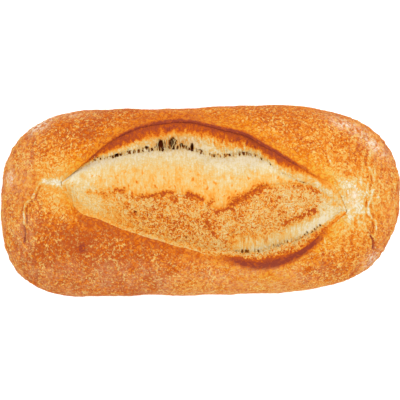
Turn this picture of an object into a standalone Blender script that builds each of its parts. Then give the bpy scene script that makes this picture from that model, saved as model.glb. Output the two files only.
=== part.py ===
"""A sourdough batard: one loaf with one long slash that has burst open along its top.

Run it with blender --background --python part.py, or from Blender's text editor.
Metres, +Z up. The loaf lies along X on its flat base, and the origin is the middle of the base.
The body is a blunt, rounded form that sits flat on the oven deck. Across its top run five lines from one
tip of the slash to the other: the ear, the crack, the ledge, the furrow and the lower lip. The rings and
columns of the mesh follow those lines, so the sharp edges of the crust lie on mesh edges.
"""

import math

import bmesh
import bpy
import numpy as np
from mathutils import Matrix, Vector, noise

# Driving dimensions of the loaf, in metres
LENGTH = 0.280
WIDTH = 0.133
CRUST_HEIGHT = 0.073  # the crust's own dome, without what bursts out of the slash
WIDEST_LEVEL = 0.032  # height at which the sides reach furthest out
SINK = 0.012  # how far the rounded underside would reach below the deck, were it not flattened
BASE_ROUNDING = 0.004  # where the flat base turns up into the sides

# Roundness of the plan, the side view and the cross-section, as exponents of superellipses
PLAN_POWERS_LEFT = (5.0, 2.9)  # along the loaf and across it, for the blunter left end
PLAN_POWERS_RIGHT = (4.0, 2.35)
TOP_POWER_ALONG = 2.45
UNDER_POWER_ALONG = 3.2
TOP_POWER_ACROSS = 2.35
UNDER_POWER_ACROSS = 2.6
SPINE_LEFT = -0.0044  # the two ends lie a little to either side of the middle
SPINE_RIGHT = 0.0026

# The slash: points (x, y) that each line runs through, in metres, from the left tip to the right tip
LEFT_TIP = (-0.0975, 0.0115)
RIGHT_TIP = (0.103, -0.0080)
EAR_POINTS = (LEFT_TIP, (-0.088, 0.0195), (-0.079, 0.0275), (-0.060, 0.0425), (-0.037, 0.0525),
              (-0.013, 0.0555), (0.012, 0.051), (0.033, 0.0455), (0.051, 0.0350), (0.067, 0.0255),
              (0.082, 0.0165), (0.096, 0.0060), RIGHT_TIP)
CRACK_POINTS = (LEFT_TIP, (-0.088, 0.0160), (-0.077, 0.0235), (-0.057, 0.031), (-0.028, 0.035),
                (-0.005, 0.0345), (0.008, 0.031), (0.038, 0.0315), (0.059, 0.0185), (0.085, 0.0065),
                RIGHT_TIP)
LEDGE_POINTS = (LEFT_TIP, (-0.070, 0.0095), (-0.038, 0.003), (-0.010, 0.0045), (0.016, -0.006),
                (0.044, 0.009), (0.064, 0.0115), (0.085, 0.006), RIGHT_TIP)
LIP_POINTS = (LEFT_TIP, (-0.088, -0.0042), (-0.070, -0.0135), (-0.028, -0.0285), (0.014, -0.0385),
              (0.047, -0.0445), (0.070, -0.0360), (0.090, -0.0200), RIGHT_TIP)

# Relief of the slash, measured from the crust's dome
FULL_GAPE = 0.088  # widest distance between ear and lip
EAR_RISE = 0.0095
CRACK_DEPTH = 0.0085
BULGE_RISE = 0.0095
LEDGE_STEP = 0.0012
FURROW_DEPTH = 0.0062
LIP_RISE = 0.0040
SHALLOW_FURROW = 0.0008  # what is left of the furrow where the lip lies flat against the crumb
FOLD_WIDTH = 0.011  # how far back from an edge the crust is lifted
WALL_POWER = 0.6  # below 1: the wall drops fastest right under the ear
PALE_POWER = 3.0  # above 1: the pale crumb rises fastest out of the crack
TOASTED_POWER = 2.1  # above 1: the toasted crumb falls fastest down to the furrow
CRACK_MIDDLE, CRACK_REACH = -0.015, 0.062
SHOULDER_START, SHOULDER_END = 0.034, 0.056  # where the crack closes to a shallow dip under the ear
SHOULDER_SHARE = 0.6  # height of that dip, as a share of the bulge
FURROW_MIDDLE, FURROW_REACH = 0.055, 0.032
FURROW_GAP, FURROW_WIDE_GAP = 0.0030, 0.0090
FURROW_SHARE = 0.35  # the furrow lies no further from the lip than this share of the gape

# Unevenness of the hand-shaped dough
LUMP_SIZE = 0.050
LUMP_HEIGHT = 0.0022
DIMPLE_SIZE = 0.018
DIMPLE_HEIGHT = 0.0010
NOISE_START = Vector((6.27, 0.97, 4.81))  # keeps the noise clear of its own grid lines

# Mesh: rings along the loaf, and columns in each band between two lines, going once round
RINGS = 88
BANDS = (("ear_side", 9), ("wall", 5), ("pale_crumb", 7), ("toasted_crumb", 8), ("lip_wall", 4),
         ("lip_side", 9), ("underside", 12))
END_CROWDING = 0.15  # smaller values bring more rings to the middle of the loaf
LINE_CROWDING = 0.6  # larger values bring more columns to the lines of the slash
FAN_SPREAD = (0.34, 0.17, 0.0, -0.17, -0.34)  # where the lines lie past the tips, as shares of the half-width
FAN_REACH = 0.022  # length of the change from line to fan at each tip
FAN_POWER = 2.0  # roundness with which the fanned lines run together towards the loaf's ends
SMALLEST_WIDTH = 1e-6  # keeps a share defined where a band or a section has no width

CRUST_COLOR = (0.62, 0.25, 0.06, 1.0)


def smooth_step(low, high, value):
    share = np.clip((value - low) / (high - low), 0.0, 1.0)
    return share * share * (3.0 - 2.0 * share)


def swell(middle, reach, x):
    """1 at the middle, falling smoothly towards 0 over about the reach."""
    return np.exp(-(((x - middle) / reach) ** 2))


def line_through(points):
    """A function y(x) that runs smoothly through the points and stays level past them."""
    xs, ys = np.array(points, float).T
    slopes = np.gradient(ys, xs)

    def line(x):
        x = np.clip(x, xs[0], xs[-1])
        i = np.clip(np.searchsorted(xs, x) - 1, 0, len(xs) - 2)
        step = xs[i + 1] - xs[i]
        u = (x - xs[i]) / step
        return (
            ys[i] * (1 + 2 * u) * (1 - u) ** 2
            + slopes[i] * step * u * (1 - u) ** 2
            + ys[i + 1] * (3 - 2 * u) * u**2
            + slopes[i + 1] * step * (u - 1) * u**2
        )

    return line


ear_line = line_through(EAR_POINTS)
crack_line = line_through(CRACK_POINTS)
ledge_line = line_through(LEDGE_POINTS)
lip_line = line_through(LIP_POINTS)


def furrow_line(x):
    gap = FURROW_GAP + FURROW_WIDE_GAP * swell(FURROW_MIDDLE, FURROW_REACH, x)
    return lip_line(x) + np.minimum(gap, FURROW_SHARE * (ear_line(x) - lip_line(x)))


SLASH_LINES = (ear_line, crack_line, ledge_line, furrow_line, lip_line)


def rounding(t, power):
    """Superellipse falling from 1 in the middle of the loaf (t 0) to 0 at its ends (t -1 and 1)."""
    return (1.0 - np.abs(t) ** power) ** (1.0 / power)


def spine(t):
    return SPINE_LEFT + (SPINE_RIGHT - SPINE_LEFT) * (t + 1.0) / 2.0


def half_width(t):
    along = np.where(t < 0, PLAN_POWERS_LEFT[0], PLAN_POWERS_RIGHT[0])
    across = np.where(t < 0, PLAN_POWERS_LEFT[1], PLAN_POWERS_RIGHT[1])
    return WIDTH / 2 * (1.0 - np.abs(t) ** along) ** (1.0 / across)


def ring_place(share):
    """Place t of a ring, from -1 to 1, for its even share from -1 to 1. Rings crowd towards the blunt ends."""
    r = 1.0 - np.abs(share)
    return np.sign(share) * (1.0 - (1.0 + END_CROWDING) * r * r / (r + END_CROWDING))


def crowded(u):
    """Share 0 to 1 whose steps are shorter at both ends, where a band meets a line of the slash."""
    return u - LINE_CROWDING * np.sin(2 * math.pi * u) / (2 * math.pi)


def line_angles(t):
    """Angles round the section at which the slash lines lie, with level ground at 0 and pi."""
    x = t * LENGTH / 2
    in_slash = smooth_step(LEFT_TIP[0], LEFT_TIP[0] + FAN_REACH, x) * smooth_step(
        RIGHT_TIP[0], RIGHT_TIP[0] - FAN_REACH, x
    )
    angles = []
    for line, fan in zip(SLASH_LINES, FAN_SPREAD):
        middle = np.interp(x, (LEFT_TIP[0], RIGHT_TIP[0]), (LEFT_TIP[1], RIGHT_TIP[1]))
        fanned = (middle - spine(t)) * rounding(t, FAN_POWER) + fan * half_width(t)
        across = fanned + (line(x) - spine(t) - fanned) * in_slash
        share = across / np.maximum(half_width(t), SMALLEST_WIDTH)
        angles.append(np.arccos(np.sign(share) * np.abs(share) ** (TOP_POWER_ACROSS / 2)))
    return angles


def column_angles(t):
    """Angle round the section for every column of a ring, starting at the widest point on +Y."""
    edges = [0.0 * t, *line_angles(t), math.pi + 0.0 * t, 2 * math.pi + 0.0 * t]
    columns = []
    for (_, count), start, end in zip(BANDS, edges, edges[1:]):
        columns += [start + (end - start) * crowded(k / count) for k in range(count)]
    return np.array(columns)


def press_flat(z):
    """The underside pressed flat on the deck: z below the deck becomes 0, with a rounded edge."""
    rounded = (z + BASE_ROUNDING) ** 2 / (4 * BASE_ROUNDING)
    return np.where(z > BASE_ROUNDING, z, np.where(z < -BASE_ROUNDING, 0.0, rounded))


def body_point(t, angle):
    """The loaf without slash and unevenness: a superellipse above and below its widest level."""
    across, up = np.cos(angle), np.sin(angle)
    power = np.where(up >= 0, TOP_POWER_ACROSS, UNDER_POWER_ACROSS)
    y = spine(t) + half_width(t) * np.sign(across) * np.abs(across) ** (2 / power)
    above = (CRUST_HEIGHT - WIDEST_LEVEL) * rounding(t, TOP_POWER_ALONG)
    below = (WIDEST_LEVEL + SINK) * rounding(t, UNDER_POWER_ALONG)
    z = WIDEST_LEVEL + np.where(up >= 0, above, below) * np.sign(up) * np.abs(up) ** (2 / power)
    return t * LENGTH / 2, y, press_flat(z)


def slash_relief(x, y):
    """Height of the burst slash over the crust's dome at (x, y)."""
    ear, crack, ledge, furrow, lip = (line(x) for line in SLASH_LINES)
    gape = np.clip((ear - lip) / FULL_GAPE, 0.0, 1.0)
    ear_height = EAR_RISE * gape
    bulge_height = BULGE_RISE * gape
    shoulder = smooth_step(SHOULDER_START, SHOULDER_END, x)
    crack_height = -CRACK_DEPTH * gape * swell(CRACK_MIDDLE, CRACK_REACH, x)
    crack_height = crack_height + (SHOULDER_SHARE * bulge_height - crack_height) * shoulder
    lip_height = LIP_RISE * gape * swell(FURROW_MIDDLE, FURROW_REACH, x)
    furrow_height = -gape * (SHALLOW_FURROW + FURROW_DEPTH * swell(FURROW_MIDDLE, FURROW_REACH, x))

    def share(start, end):
        return np.clip((y - start) / np.minimum(end - start, -SMALLEST_WIDTH), 0.0, 1.0)

    wall = ear_height + (crack_height - ear_height) * share(ear, crack) ** WALL_POWER
    pale = crack_height + (bulge_height - crack_height) * (1 - (1 - share(crack, ledge)) ** PALE_POWER)
    crest = bulge_height + LEDGE_STEP * gape
    toasted = furrow_height + (crest - furrow_height) * (1 - share(ledge, furrow) ** TOASTED_POWER)
    lip_wall = furrow_height + (lip_height - furrow_height) * share(furrow, lip)
    return np.select(
        [y > ear, y > crack, y > ledge, y > furrow, y > lip],
        [ear_height * np.exp((ear - y) / FOLD_WIDTH), wall, pale, toasted, lip_wall],
        lip_height * np.exp((y - lip) / FOLD_WIDTH),
    )


def unevenness(x, y, z):
    """Lumps and dimples of the dough, fading out towards the flat base."""
    lump = LUMP_HEIGHT * noise.noise(Vector((x, y, z)) / LUMP_SIZE + NOISE_START)
    dimple = DIMPLE_HEIGHT * noise.noise(Vector((x, y, z)) / DIMPLE_SIZE + NOISE_START)
    return (lump + dimple) * float(smooth_step(0.0, WIDEST_LEVEL / 2, z))


def shape_vertex(t, angle):
    """Final place of a vertex of ring t at an angle round the section."""
    x, y, z = (float(value) for value in body_point(t, angle))
    if math.sin(angle) > 0:
        z += float(slash_relief(x, y)) * math.sin(angle)
    outward = Vector((x * (WIDTH / LENGTH) ** 2, y, z - WIDEST_LEVEL))
    if outward.length > 0:
        outward.normalize()
    return Vector((x, y, z)) + outward * unevenness(x, y, z)


def loaf_mesh():
    """A sphere with its poles at the loaf's ends, each vertex moved to its place on the loaf."""
    around = sum(count for _, count in BANDS)
    mesh = bmesh.new()
    along_x = Matrix.Rotation(math.pi / 2, 4, "Y")
    bmesh.ops.create_uvsphere(mesh, u_segments=around, v_segments=RINGS, radius=1.0, matrix=along_x)
    rings = {}
    for vertex in mesh.verts:
        share = 1.0 - 2.0 * math.acos(max(-1.0, min(1.0, vertex.co.x))) / math.pi
        ring = round(share * RINGS / 2)
        column = round(math.atan2(vertex.co.z, vertex.co.y) / (2 * math.pi) * around) % around
        if ring not in rings:
            t = ring_place(np.float64(ring / (RINGS / 2)))
            rings[ring] = (t, column_angles(t))
        t, angles = rings[ring]
        vertex.co = shape_vertex(t, angles[column])
    centre_on_base(mesh)
    return mesh


def centre_on_base(mesh):
    """Moves the mesh so that the middle of its base is the origin."""
    places = np.array([vertex.co for vertex in mesh.verts])
    low, high = places.min(0), places.max(0)
    middle = Vector(((low[0] + high[0]) / 2, (low[1] + high[1]) / 2, low[2]))
    bmesh.ops.translate(mesh, verts=mesh.verts, vec=-middle)


def crust_material():
    material = bpy.data.materials.new("baked_crust")
    material.use_nodes = True
    shader = material.node_tree.nodes["Principled BSDF"]
    shader.inputs["Base Color"].default_value = CRUST_COLOR
    shader.inputs["Roughness"].default_value = 0.6
    shader.inputs["Metallic"].default_value = 0.0
    return material


def make_loaf(collection):
    mesh = loaf_mesh()
    bmesh.ops.recalc_face_normals(mesh, faces=mesh.faces)
    data = bpy.data.meshes.new("batard_loaf")
    mesh.to_mesh(data)
    mesh.free()
    data.materials.append(crust_material())
    data.shade_smooth()
    loaf = bpy.data.objects.new("batard_loaf", data)
    collection.objects.link(loaf)
    return loaf


def main():
    for old in list(bpy.data.objects):
        bpy.data.objects.remove(old)
    collection = bpy.data.collections.new("sourdough_batard")
    bpy.context.scene.collection.children.link(collection)
    make_loaf(collection)


main()
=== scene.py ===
"""Looks of the sourdough batard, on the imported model's frame.

The crust is a closed loaf whose slash is sunk to a trough, and the torn crumb is a closed slab that fills
the trough and shows between the rolled edges of the crust. +Z is up and the loaf lies along X. Lengths are in
metres, but the tables of places, and what blob() takes, are in tenths of a millimetre.
"""

import itertools
import math

import bmesh
import bpy
import numpy as np
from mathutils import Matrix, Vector, noise


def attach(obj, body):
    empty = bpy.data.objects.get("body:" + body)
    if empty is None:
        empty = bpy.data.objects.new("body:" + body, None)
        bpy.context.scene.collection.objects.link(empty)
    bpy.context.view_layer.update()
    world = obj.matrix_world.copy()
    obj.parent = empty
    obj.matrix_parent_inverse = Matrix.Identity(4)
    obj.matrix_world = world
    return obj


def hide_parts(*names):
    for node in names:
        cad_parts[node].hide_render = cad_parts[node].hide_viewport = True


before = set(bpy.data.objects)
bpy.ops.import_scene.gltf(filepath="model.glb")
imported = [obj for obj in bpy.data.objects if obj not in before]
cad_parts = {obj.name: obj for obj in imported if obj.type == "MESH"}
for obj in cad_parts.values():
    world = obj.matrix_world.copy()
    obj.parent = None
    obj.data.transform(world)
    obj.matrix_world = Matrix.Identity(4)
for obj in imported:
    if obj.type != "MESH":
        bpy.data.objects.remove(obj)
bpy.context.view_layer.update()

# ---- the loaf's form, as in the solid
LENGTH = 0.28
WIDTH = 0.133
CRUST_HEIGHT = 0.073
WIDEST_LEVEL = 0.032
SINK = 0.012
BASE_ROUNDING = 0.004
PLAN_POWERS_LEFT = (5.0, 2.9)
PLAN_POWERS_RIGHT = (4.0, 2.35)
TOP_POWER_ALONG = 2.45
UNDER_POWER_ALONG = 3.2
TOP_POWER_ACROSS = 2.35
UNDER_POWER_ACROSS = 2.6
SPINE_LEFT = -0.0044
SPINE_RIGHT = 0.0026

LEFT_TIP = (-975, 115)
RIGHT_TIP = (1030, -80)
EAR_POINTS = (LEFT_TIP, (-880, 195), (-790, 275), (-600, 425), (-370, 525), (-130, 555), (120, 510), (330, 455),
              (510, 350), (670, 255), (820, 165), (960, 60), RIGHT_TIP)
CRACK_POINTS = (LEFT_TIP, (-880, 190), (-770, 260), (-570, 310), (-280, 350), (-50, 345), (80, 310), (380, 315),
                (590, 185), (850, 65), RIGHT_TIP)
LEDGE_POINTS = (LEFT_TIP, (-700, 95), (-380, 30), (-100, 45), (160, -60), (440, 90), (640, 115), (850, 60),
                RIGHT_TIP)
LIP_POINTS = (LEFT_TIP, (-880, -42), (-700, -135), (-280, -285), (140, -385), (470, -445), (700, -360),
              (900, -200), RIGHT_TIP)
TENTHS = 10000  # tenths of a millimetre in a metre
LEFT_END, RIGHT_END = LEFT_TIP[0] / TENTHS, RIGHT_TIP[0] / TENTHS
FULL_GAPE = 0.088
EAR_RISE = 0.0095
CRACK_DEPTH = 0.0085
BULGE_RISE = 0.0095
LEDGE_STEP = 0.0012
FURROW_DEPTH = 0.0062
LIP_RISE = 0.004
SHALLOW_FURROW = 0.0008
FOLD_WIDTH = 0.011
WALL_POWER = 0.6
PALE_POWER = 3.0
TOASTED_POWER = 2.1
CRACK_MIDDLE, CRACK_REACH = -0.015, 0.062
SHOULDER_START, SHOULDER_END = 0.034, 0.056
SHOULDER_SHARE = 0.6
FURROW_MIDDLE, FURROW_REACH = 0.055, 0.032
FURROW_GAP, FURROW_WIDE_GAP = 0.003, 0.009
FURROW_SHARE = 0.35
LUMP_SIZE = 0.05
LUMP_HEIGHT = 0.0022
DIMPLE_SIZE = 0.018
DIMPLE_HEIGHT = 0.001
NOISE_START = Vector((6.27, 0.97, 4.81))
SMALLEST = 1e-9
CENTRE = np.array([-0.0004, 0.0005, 0.0])  # the solid's centring on its base

# ---- the finer form of this file
RINGS = 400
SIDE_COLUMNS, ROLL_COLUMNS, TROUGH_COLUMNS, BASE_COLUMNS = 74, 8, 8, 60
END_CROWDING = 0.15
ROLL_WIDTH = 0.0022
FLAT_ROLL = 0.0006
ROLL_SHARE = 0.3
TROUGH_DEPTH = 0.01
TROUGH_GAPE = 0.01
TIP_SINK, TIP_GAPE = 0.0006, 0.0035
WAVED_GAPE = 0.03  # slash width from which its edges are fully wavy
SIDE_CROWDING = 0.35  # how much closer the crust's columns lie near the slash
POLE_GAP = 0.0001
FAN_SPREAD = (0.06, 0.04, -0.04, -0.06)
FAN_REACH = 0.012

TORN_COLUMNS_ALONG = 540
TORN_BANDS = (3, 34, 48, 54, 22, 3)
TORN_END = 0.0008
TORN_MARGIN = 0.0016
TORN_SINK = 0.0045
FLAT_SINK = 0.0009
TORN_EDGE_DROP = 0.0005
FLAT_EDGE_DROP = -0.00018
TORN_THICKNESS = 0.013
DROP_REACH, DOUGH_REACH = 0.0018, 0.004
WALL_TOAST, STREAK_TOAST, MOST_STREAK_TOAST = 0.34, 2.2, 0.9


# ---- noise
def ease(low, high, value):
    """Smooth step: 0 at low, 1 at high, which may be the smaller one."""
    share = np.clip((value - low) / (high - low), 0.0, 1.0)
    return share * share * (3.0 - 2.0 * share)


def mix(a, b, share):
    return a + (b - a) * share


def window(value, a, b, c, d):
    """0 up to a, 1 from b to c and 0 past d, smoothly."""
    return ease(a, b, value) * ease(d, c, value)


def scramble(ix, iy, iz, seed):
    """A whole number below 2**32 for each lattice cell."""
    mask = 0xFFFFFFFF
    h = (ix * 374761393 + iy * 668265263 + iz * 1103515245 + seed * 1274126177) & mask
    h = ((h ^ (h >> 13)) * 1274126177) & mask
    h = ((h ^ (h >> 15)) * 739982445) & mask
    return h ^ (h >> 16)


def grain(points, size, seed):
    """Smooth gradient noise of about -1 to 1 at points (..., 3). size is one length or three."""
    p = points / np.asarray(size, float)
    cell = np.floor(p).astype(np.int64)
    f = p - cell
    u = f * f * f * (f * (f * 6 - 15) + 10)
    total = 0.0
    for corner in itertools.product((0, 1), repeat=3):
        h = scramble(*(cell[..., i] + corner[i] for i in range(3)), seed)
        share = sum((((h >> 10 * i) & 1023) / 511.5 - 1.0) * (f[..., i] - corner[i]) for i in range(3))
        for i in range(3):
            share = share * (u[..., i] if corner[i] else 1 - u[..., i])
        total = total + share
    return total * 1.6


def fractal(points, size, seed, octaves=3, gain=0.5):
    """Several layers of grain, each half the size of the one before."""
    total, weight, norm = 0.0, 1.0, 0.0
    for octave in range(octaves):
        total = total + weight * grain(points, np.asarray(size, float) / 2**octave, seed + octave)
        norm += weight
        weight *= gain
    return total / norm


def ridges(points, size, seed, octaves=2):
    """1 on thin winding ridges, falling to 0 between them."""
    total, weight, norm = 0.0, 1.0, 0.0
    for octave in range(octaves):
        layer = 1.0 - np.abs(grain(points, np.asarray(size, float) / 2**octave, seed + octave))
        total = total + weight * np.clip(layer, 0, 1) ** 3
        norm += weight
        weight *= 0.5
    return total / norm


def flat(x, y):
    """Points in the plan, for noise that depends on x and y alone."""
    return np.stack([x, y, np.zeros_like(x)], axis=-1)


def blob(x, y, centre_x, centre_y, radius, stretch=1.0, turn=0.0):
    """1 at a place in the plan, falling smoothly to 0 at about the radius. Place and radius are in tenths."""
    c, s = math.cos(turn), math.sin(turn)
    dx, dy = x - centre_x / TENTHS, y - centre_y / TENTHS
    along, across = c * dx + s * dy, c * dy - s * dx
    return np.exp(-((along / (radius / TENTHS * stretch)) ** 2) - (across / (radius / TENTHS)) ** 2)


def spots(x, y, table):
    """Sum of the table's blobs, each given as its amount and what blob() takes."""
    return sum(amount * blob(x, y, *where) for amount, *where in table)


def bell(distance, width):
    """1 at no distance, falling smoothly to 0 past the width."""
    return np.exp(-((distance / width) ** 2))


def near_path(x, y, path):
    """Distance in the plan to a path, its side (left is 1, right -1) and the share of the path passed."""
    points = [(px / TENTHS, py / TENTHS) for px, py in path]
    best, side, share = np.full(np.shape(x), 1e9), np.zeros(np.shape(x)), np.zeros(np.shape(x))
    lengths = [math.dist(a, b) for a, b in zip(points, points[1:])]
    run, whole = 0.0, sum(lengths)
    for (ax, ay), (bx, by), length in zip(points, points[1:], lengths):
        ux, uy = (bx - ax) / length, (by - ay) / length
        along = np.clip((x - ax) * ux + (y - ay) * uy, 0.0, length)
        d = np.hypot(x - ax - along * ux, y - ay - along * uy)
        closer = d < best
        best = np.where(closer, d, best)
        side = np.where(closer, np.sign(ux * (y - ay) - uy * (x - ax)), side)
        share = np.where(closer, (run + along) / whole, share)
        run += length
    return best, side, share


def between_ends(share, late=0.85):
    """1 along the middle of a path, falling to 0 at its two ends."""
    return window(share, 0.0, 0.15, late, 1.0)


# ---- lines of the slash
def line_through(points):
    """A function y(x) that runs smoothly through the points and stays level past them."""
    xs, ys = np.array(points).T / TENTHS
    slopes = np.gradient(ys, xs)

    def line(x):
        x = np.clip(x, xs[0], xs[-1])
        i = np.clip(np.searchsorted(xs, x) - 1, 0, len(xs) - 2)
        step = xs[i + 1] - xs[i]
        u = (x - xs[i]) / step
        return (
            ys[i] * (1 + 2 * u) * (1 - u) ** 2
            + slopes[i] * step * u * (1 - u) ** 2
            + ys[i + 1] * (3 - 2 * u) * u**2
            + slopes[i + 1] * step * (u - 1) * u**2
        )

    return line


def opening(x):
    """Share of the slash's full width at x, for waves in its edges that die out at the tips."""
    return np.clip((ear_run(x) - lip_run(x)) / WAVED_GAPE, 0.0, 1.0)


def waved(run, broad, broad_size, fine, fine_size, seed):
    """The line y = run(x) with broad and fine waves of these heights and lengths."""

    def line(x):
        plan = flat(x, 0.0 * x)
        waves = broad * fractal(plan, broad_size, seed) + fine * fractal(plan, fine_size, seed + 1)
        return run(x) + opening(x) * waves

    return line


ear_run, lip_run = line_through(EAR_POINTS), line_through(LIP_POINTS)
ear_line = waved(ear_run, 0.0006, 0.012, 0.0003, 0.0035, 11)
crack_line = waved(line_through(CRACK_POINTS), 0.001, 0.011, 0.0006, 0.003, 13)
ledge_line = waved(line_through(LEDGE_POINTS), 0.0026, 0.012, 0.0014, 0.004, 15)
lip_line = waved(lip_run, 0.0008, 0.012, 0.0003, 0.0035, 17)


def furrow_line(x):
    gap = FURROW_GAP + FURROW_WIDE_GAP * bell(x - FURROW_MIDDLE, FURROW_REACH)
    return lip_line(x) + np.minimum(gap, FURROW_SHARE * (ear_line(x) - lip_line(x)))


SLASH_LINES = (ear_line, crack_line, ledge_line, furrow_line, lip_line)


def curled_ear(x):
    """Where the ear is burnt and rolled, from 0 to 1."""
    return window(x, -0.076, -0.052, 0.058, 0.092)


def curled_lip(x):
    """Where the lower lip is burnt and rolled, from 0 to 1."""
    return window(x, 0.006, 0.03, 0.078, 0.094)


def gape_at(x):
    return np.maximum(ear_line(x) - lip_line(x), 0.0)


def roll_widths(x):
    """How wide the rolled edges of the crust are: the ear's and the lower lip's."""
    most = ROLL_SHARE * gape_at(x)
    widths = (mix(FLAT_ROLL, ROLL_WIDTH, curled(x)) for curled in (curled_ear, curled_lip))
    return tuple(np.maximum(np.minimum(width, most), SMALLEST) for width in widths)


# ---- the loaf's body
def rounding(t, power):
    return np.maximum(1.0 - np.abs(t) ** power, 0.0) ** (1.0 / power)


def spine(t):
    return mix(SPINE_LEFT, SPINE_RIGHT, (t + 1.0) / 2.0)


def half_width(t):
    along = np.where(t < 0, PLAN_POWERS_LEFT[0], PLAN_POWERS_RIGHT[0])
    across = np.where(t < 0, PLAN_POWERS_LEFT[1], PLAN_POWERS_RIGHT[1])
    return WIDTH / 2 * np.maximum(1.0 - np.abs(t) ** along, 0.0) ** (1.0 / across)


def ring_place(share):
    r = 1.0 - np.abs(share)
    return np.sign(share) * (1.0 - (1.0 + END_CROWDING) * r * r / (r + END_CROWDING))


def press_flat(z):
    rounded = (z + BASE_ROUNDING) ** 2 / (4 * BASE_ROUNDING)
    return np.where(z > BASE_ROUNDING, z, np.where(z < -BASE_ROUNDING, 0.0, rounded))


def angle_of(t, y):
    """Angle round the section at which the crust's dome has this y."""
    share = np.clip((y - spine(t)) / np.maximum(half_width(t), SMALLEST), -1.0, 1.0)
    return np.arccos(np.sign(share) * np.abs(share) ** (TOP_POWER_ACROSS / 2))


def body_point(t, angle):
    across, up = np.cos(angle), np.sin(angle)
    power = np.where(up >= 0, TOP_POWER_ACROSS, UNDER_POWER_ACROSS)
    y = spine(t) + half_width(t) * np.sign(across) * np.abs(across) ** (2 / power)
    above = (CRUST_HEIGHT - WIDEST_LEVEL) * rounding(t, TOP_POWER_ALONG)
    below = (WIDEST_LEVEL + SINK) * rounding(t, UNDER_POWER_ALONG)
    z = WIDEST_LEVEL + np.where(up >= 0, above, below) * np.sign(up) * np.abs(up) ** (2 / power)
    return t * LENGTH / 2 + 0.0 * y, y, press_flat(z)


def slash_parts(x, y):
    """Heights over the crust's dome: of the crust outside the slash, and of the torn floor inside it."""
    ear, crack, ledge, furrow, lip = (line(x) for line in SLASH_LINES)
    gape = np.clip((ear - lip) / FULL_GAPE, 0.0, 1.0)
    ear_height = EAR_RISE * gape
    bulge_height = BULGE_RISE * gape
    shoulder = ease(SHOULDER_START, SHOULDER_END, x)
    crack_height = -CRACK_DEPTH * gape * bell(x - CRACK_MIDDLE, CRACK_REACH)
    crack_height = mix(crack_height, SHOULDER_SHARE * bulge_height, shoulder)
    lip_height = LIP_RISE * gape * bell(x - FURROW_MIDDLE, FURROW_REACH)
    furrow_height = -gape * (SHALLOW_FURROW + FURROW_DEPTH * bell(x - FURROW_MIDDLE, FURROW_REACH))

    def share(start, end):
        return np.clip((y - start) / np.minimum(end - start, -1e-6), 0.0, 1.0)

    wall = mix(ear_height, crack_height, share(ear, crack) ** WALL_POWER)
    pale = mix(crack_height, bulge_height, 1 - (1 - share(crack, ledge)) ** PALE_POWER)
    crest = bulge_height + LEDGE_STEP * gape
    toasted = mix(furrow_height, crest, 1 - share(ledge, furrow) ** TOASTED_POWER)
    lip_wall = mix(furrow_height, lip_height, share(furrow, lip))
    floor = np.select([y > crack, y > ledge, y > furrow], [wall, pale, toasted], lip_wall)
    crust = np.where(
        y > (ear + lip) / 2,
        ear_height * np.exp(-np.maximum(y - ear, 0.0) / FOLD_WIDTH),
        lip_height * np.exp(-np.maximum(lip - y, 0.0) / FOLD_WIDTH),
    )
    return crust, floor


def unevenness(points):
    """Lumps and dimples of the dough, the same as in the solid."""
    shape = points.shape[:-1]
    out = np.empty(int(np.prod(shape)))
    for i, (x, y, z) in enumerate(points.reshape(-1, 3).tolist()):
        p = Vector((x, y, z))
        out[i] = LUMP_HEIGHT * noise.noise(p / LUMP_SIZE + NOISE_START) + DIMPLE_HEIGHT * noise.noise(
            p / DIMPLE_SIZE + NOISE_START
        )
    return out.reshape(shape) * ease(0.0, WIDEST_LEVEL / 2, points[..., 2])


def push_out(points, amount):
    """Points moved away from the loaf's middle line, as the solid's unevenness moves them."""
    outward = points * np.array([(WIDTH / LENGTH) ** 2, 1.0, 1.0]) - np.array([0.0, 0.0, WIDEST_LEVEL])
    length = np.maximum(np.linalg.norm(outward, axis=-1, keepdims=True), SMALLEST)
    return points + outward / length * amount[..., None]


def grid_normals(points, wrap):
    """Unit normals of a grid of points, rows first. wrap joins the last column to the first."""
    if wrap:
        across = np.roll(points, -1, 1) - np.roll(points, 1, 1)
    else:
        across = np.gradient(points, axis=1)
    normal = np.cross(np.gradient(points, axis=0), across)
    length = np.maximum(np.linalg.norm(normal, axis=-1, keepdims=True), SMALLEST)
    return normal / length


# ---- crust
LEFT_CREASE = ((-1112, 132), (-1141, 81), (-1166, 20), (-1218, -25), (-1229, -86), (-1229, -156), (-1208, -206))
LEFT_CRACKLET = ((-1229, -180), (-1225, -240), (-1232, -300))
LEFT_LOW_WRINKLE = ((-1150, -460), (-1000, -525), (-850, -560))
RIGHT_CREASE = ((1110, 460), (1180, 390), (1198, 362), (1175, 243), (1219, 151), (1198, 32), (1175, -39),
                (1184, -109), (1233, -156), (1226, -240), (1219, -306))
RIGHT_CRACKLET = ((1200, -255), (1219, -300), (1210, -340))
RIGHT_SHORT_CREASE = ((1265, 90), (1230, -10), (1215, -60))
UPPER_WRINKLE = ((890, 390), (895, 300), (925, 230))
LOWER_WRINKLE = ((867, -250), (875, -320), (881, -390))
LEFT_GROOVE = ((-980, 115), (-1040, 128), (-1095, 131))
FOLDS = (  # path, height, painted light and shade (how much paler its ridge and darker its groove), side of its groove
    (LEFT_CREASE, 1.0, 1.0, -1.0),
    (RIGHT_CREASE, 0.7, 0.8, 1.0),
    (RIGHT_SHORT_CREASE, 0.4, 0.4, -1.0),
    (UPPER_WRINKLE, 0.4, 0.6, 1.0),
    (LOWER_WRINKLE, 0.4, 0.6, 1.0),
    (LEFT_LOW_WRINKLE, 0.5, 0.3, 1.0),
)
FOLD_HEIGHT = 0.001
# cracklets: path, depth, and painted shade that darkens the groove
CRACKLETS = ((LEFT_CRACKLET, 0.0012, 0.55), (RIGHT_CRACKLET, 0.001, 0.55), (LEFT_GROOVE, 0.0007, 0.0))


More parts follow.
